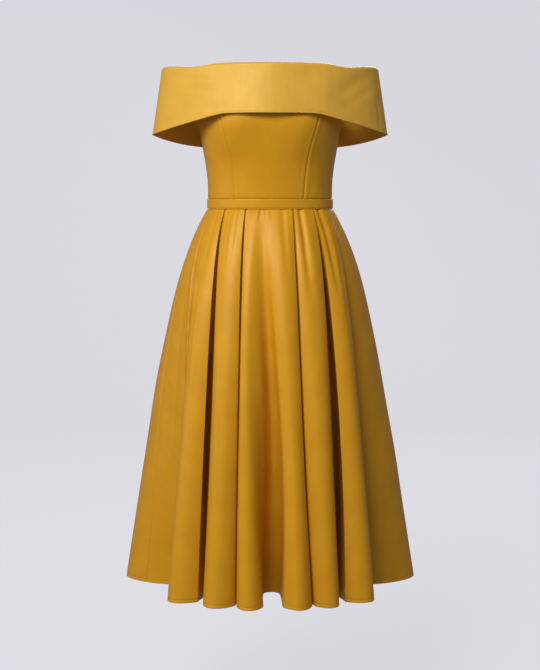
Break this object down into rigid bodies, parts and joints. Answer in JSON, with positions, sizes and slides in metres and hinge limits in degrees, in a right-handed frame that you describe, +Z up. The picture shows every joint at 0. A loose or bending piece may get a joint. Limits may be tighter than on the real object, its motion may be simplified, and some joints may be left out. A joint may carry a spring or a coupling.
{
  "type": "off-the-shoulder midi dress",
  "caption": "Strapless satin party dress with a wide fold-over collar, princess-seamed bodice, narrow waistband and full pleated midi skirt, held in its worn shape.",
  "frame": {"origin": "middle of the waist, on the dress's axis at half the waistband's height", "axes": "+Z up the dress from hem to collar, -Y towards the front, +X towards the wearer's left"},
  "size_m": [0.5694, 0.4835, 1.002],
  "materials": {
    "satin": "mustard satin with a soft sheen",
    "zip_tape": "matt woven tape"
  },
  "bodies": {
    "root": {"bodice_front": "satin", "bodice_side_left": "satin", "bodice_side_right": "satin", "bodice_back_left": "satin", "bodice_back_right": "satin", "waistband_front": "satin", "waistband_back_left": "satin", "waistband_back_right": "satin", "collar_front": "satin", "collar_back": "satin", "skirt_front": "satin", "skirt_back_left": "satin", "skirt_back_right": "satin", "zip": "zip_tape"}
  },
  "joints": []
}
